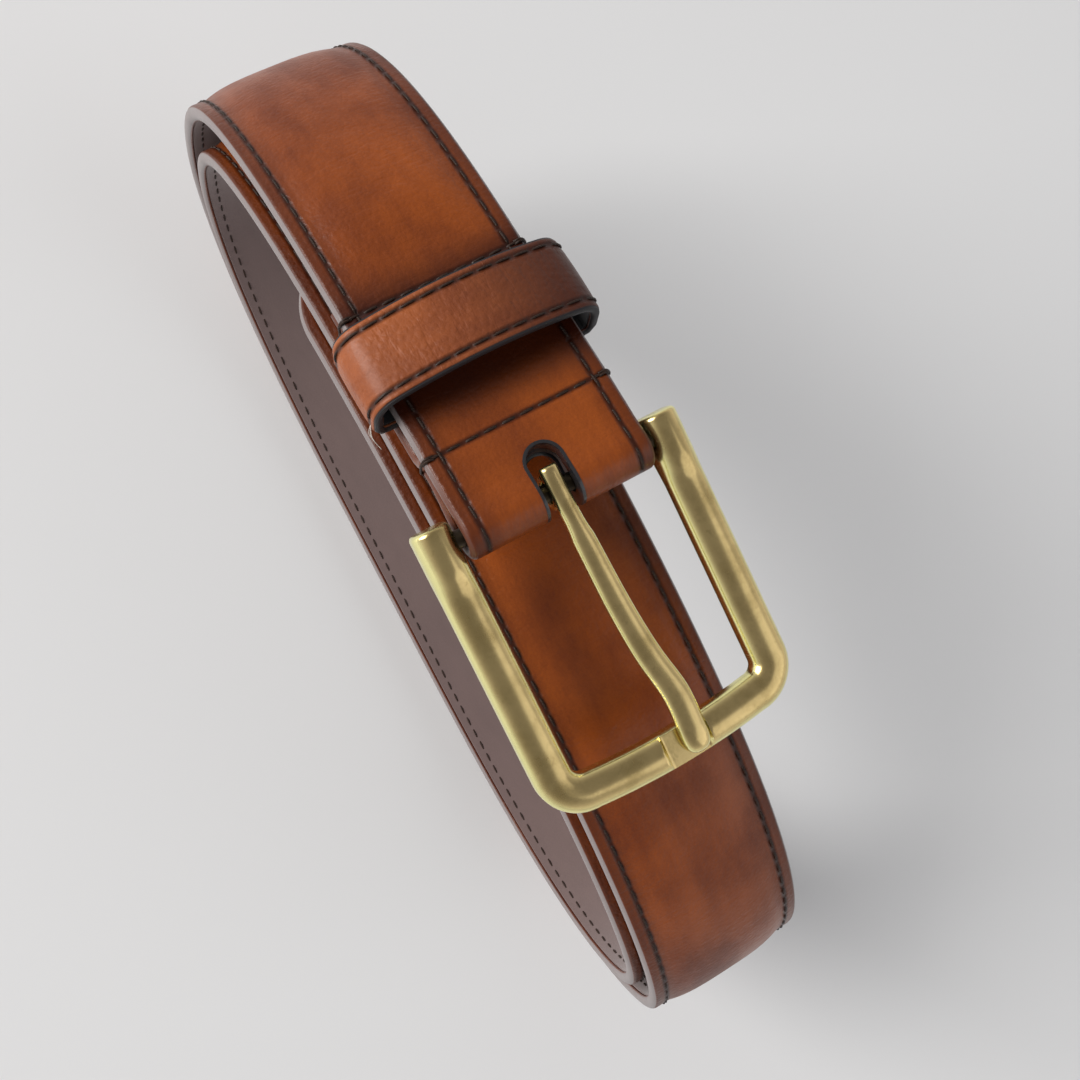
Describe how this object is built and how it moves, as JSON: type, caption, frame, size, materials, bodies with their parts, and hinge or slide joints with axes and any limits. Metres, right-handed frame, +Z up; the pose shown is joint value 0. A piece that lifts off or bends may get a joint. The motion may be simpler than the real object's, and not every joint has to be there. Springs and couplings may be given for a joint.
{
  "type": "leather belt",
  "caption": "Padded leather dress belt, rolled into a loop, with a sliding keeper and a hinged single-prong metal buckle.",
  "frame": {"origin": "on the ground under the middle of the rolled belt", "axes": "+Z up, +X along the coil in the direction that the buckle points, Y across the strap"},
  "size_m": [0.2114, 0.05, 0.1376],
  "materials": {
    "tan_leather": "burnished smooth leather",
    "lining_leather": "matt lining leather",
    "padding": "pressed fibre",
    "thread": "twisted polyester thread",
    "antique_brass": "satin antique brass",
    "steel": "drawn wire"
  },
  "bodies": {
    "strap": {"strap_face": "tan_leather", "strap_lining": "lining_leather", "strap_padding": "padding", "edge_thread_left": "thread", "edge_thread_right": "thread", "lining_thread_left": "thread", "lining_thread_right": "thread", "fold_stitch_front": "thread", "fold_stitch_rear": "thread"},
    "keeper": {"keeper_lining": "lining_leather", "keeper_face": "tan_leather", "keeper_stitch_front": "thread", "keeper_stitch_rear": "thread", "keeper_staple": "steel"},
    "buckle": {"buckle_frame": "antique_brass", "hinge_bar": "antique_brass"},
    "prong": {"prong": "antique_brass"}
  },
  "joints": [
    {"name": "buckle_hinge", "type": "hinge", "parent": "strap", "child": "buckle", "pos_m": [-0.0008, 0, 0.1298], "axis": [0, -1, 0], "range_deg": [-10, 60]},
    {"name": "prong_hinge", "type": "hinge", "parent": "buckle", "child": "prong", "pos_m": [-0.0008, 0, 0.1298], "axis": [0, -1, 0], "range_deg": [0, 80]},
    {"name": "keeper_slide", "type": "slide", "parent": "strap", "child": "keeper", "axis": [0.969, 0, 0.247], "range_m": [0, 0.005]}
  ]
}
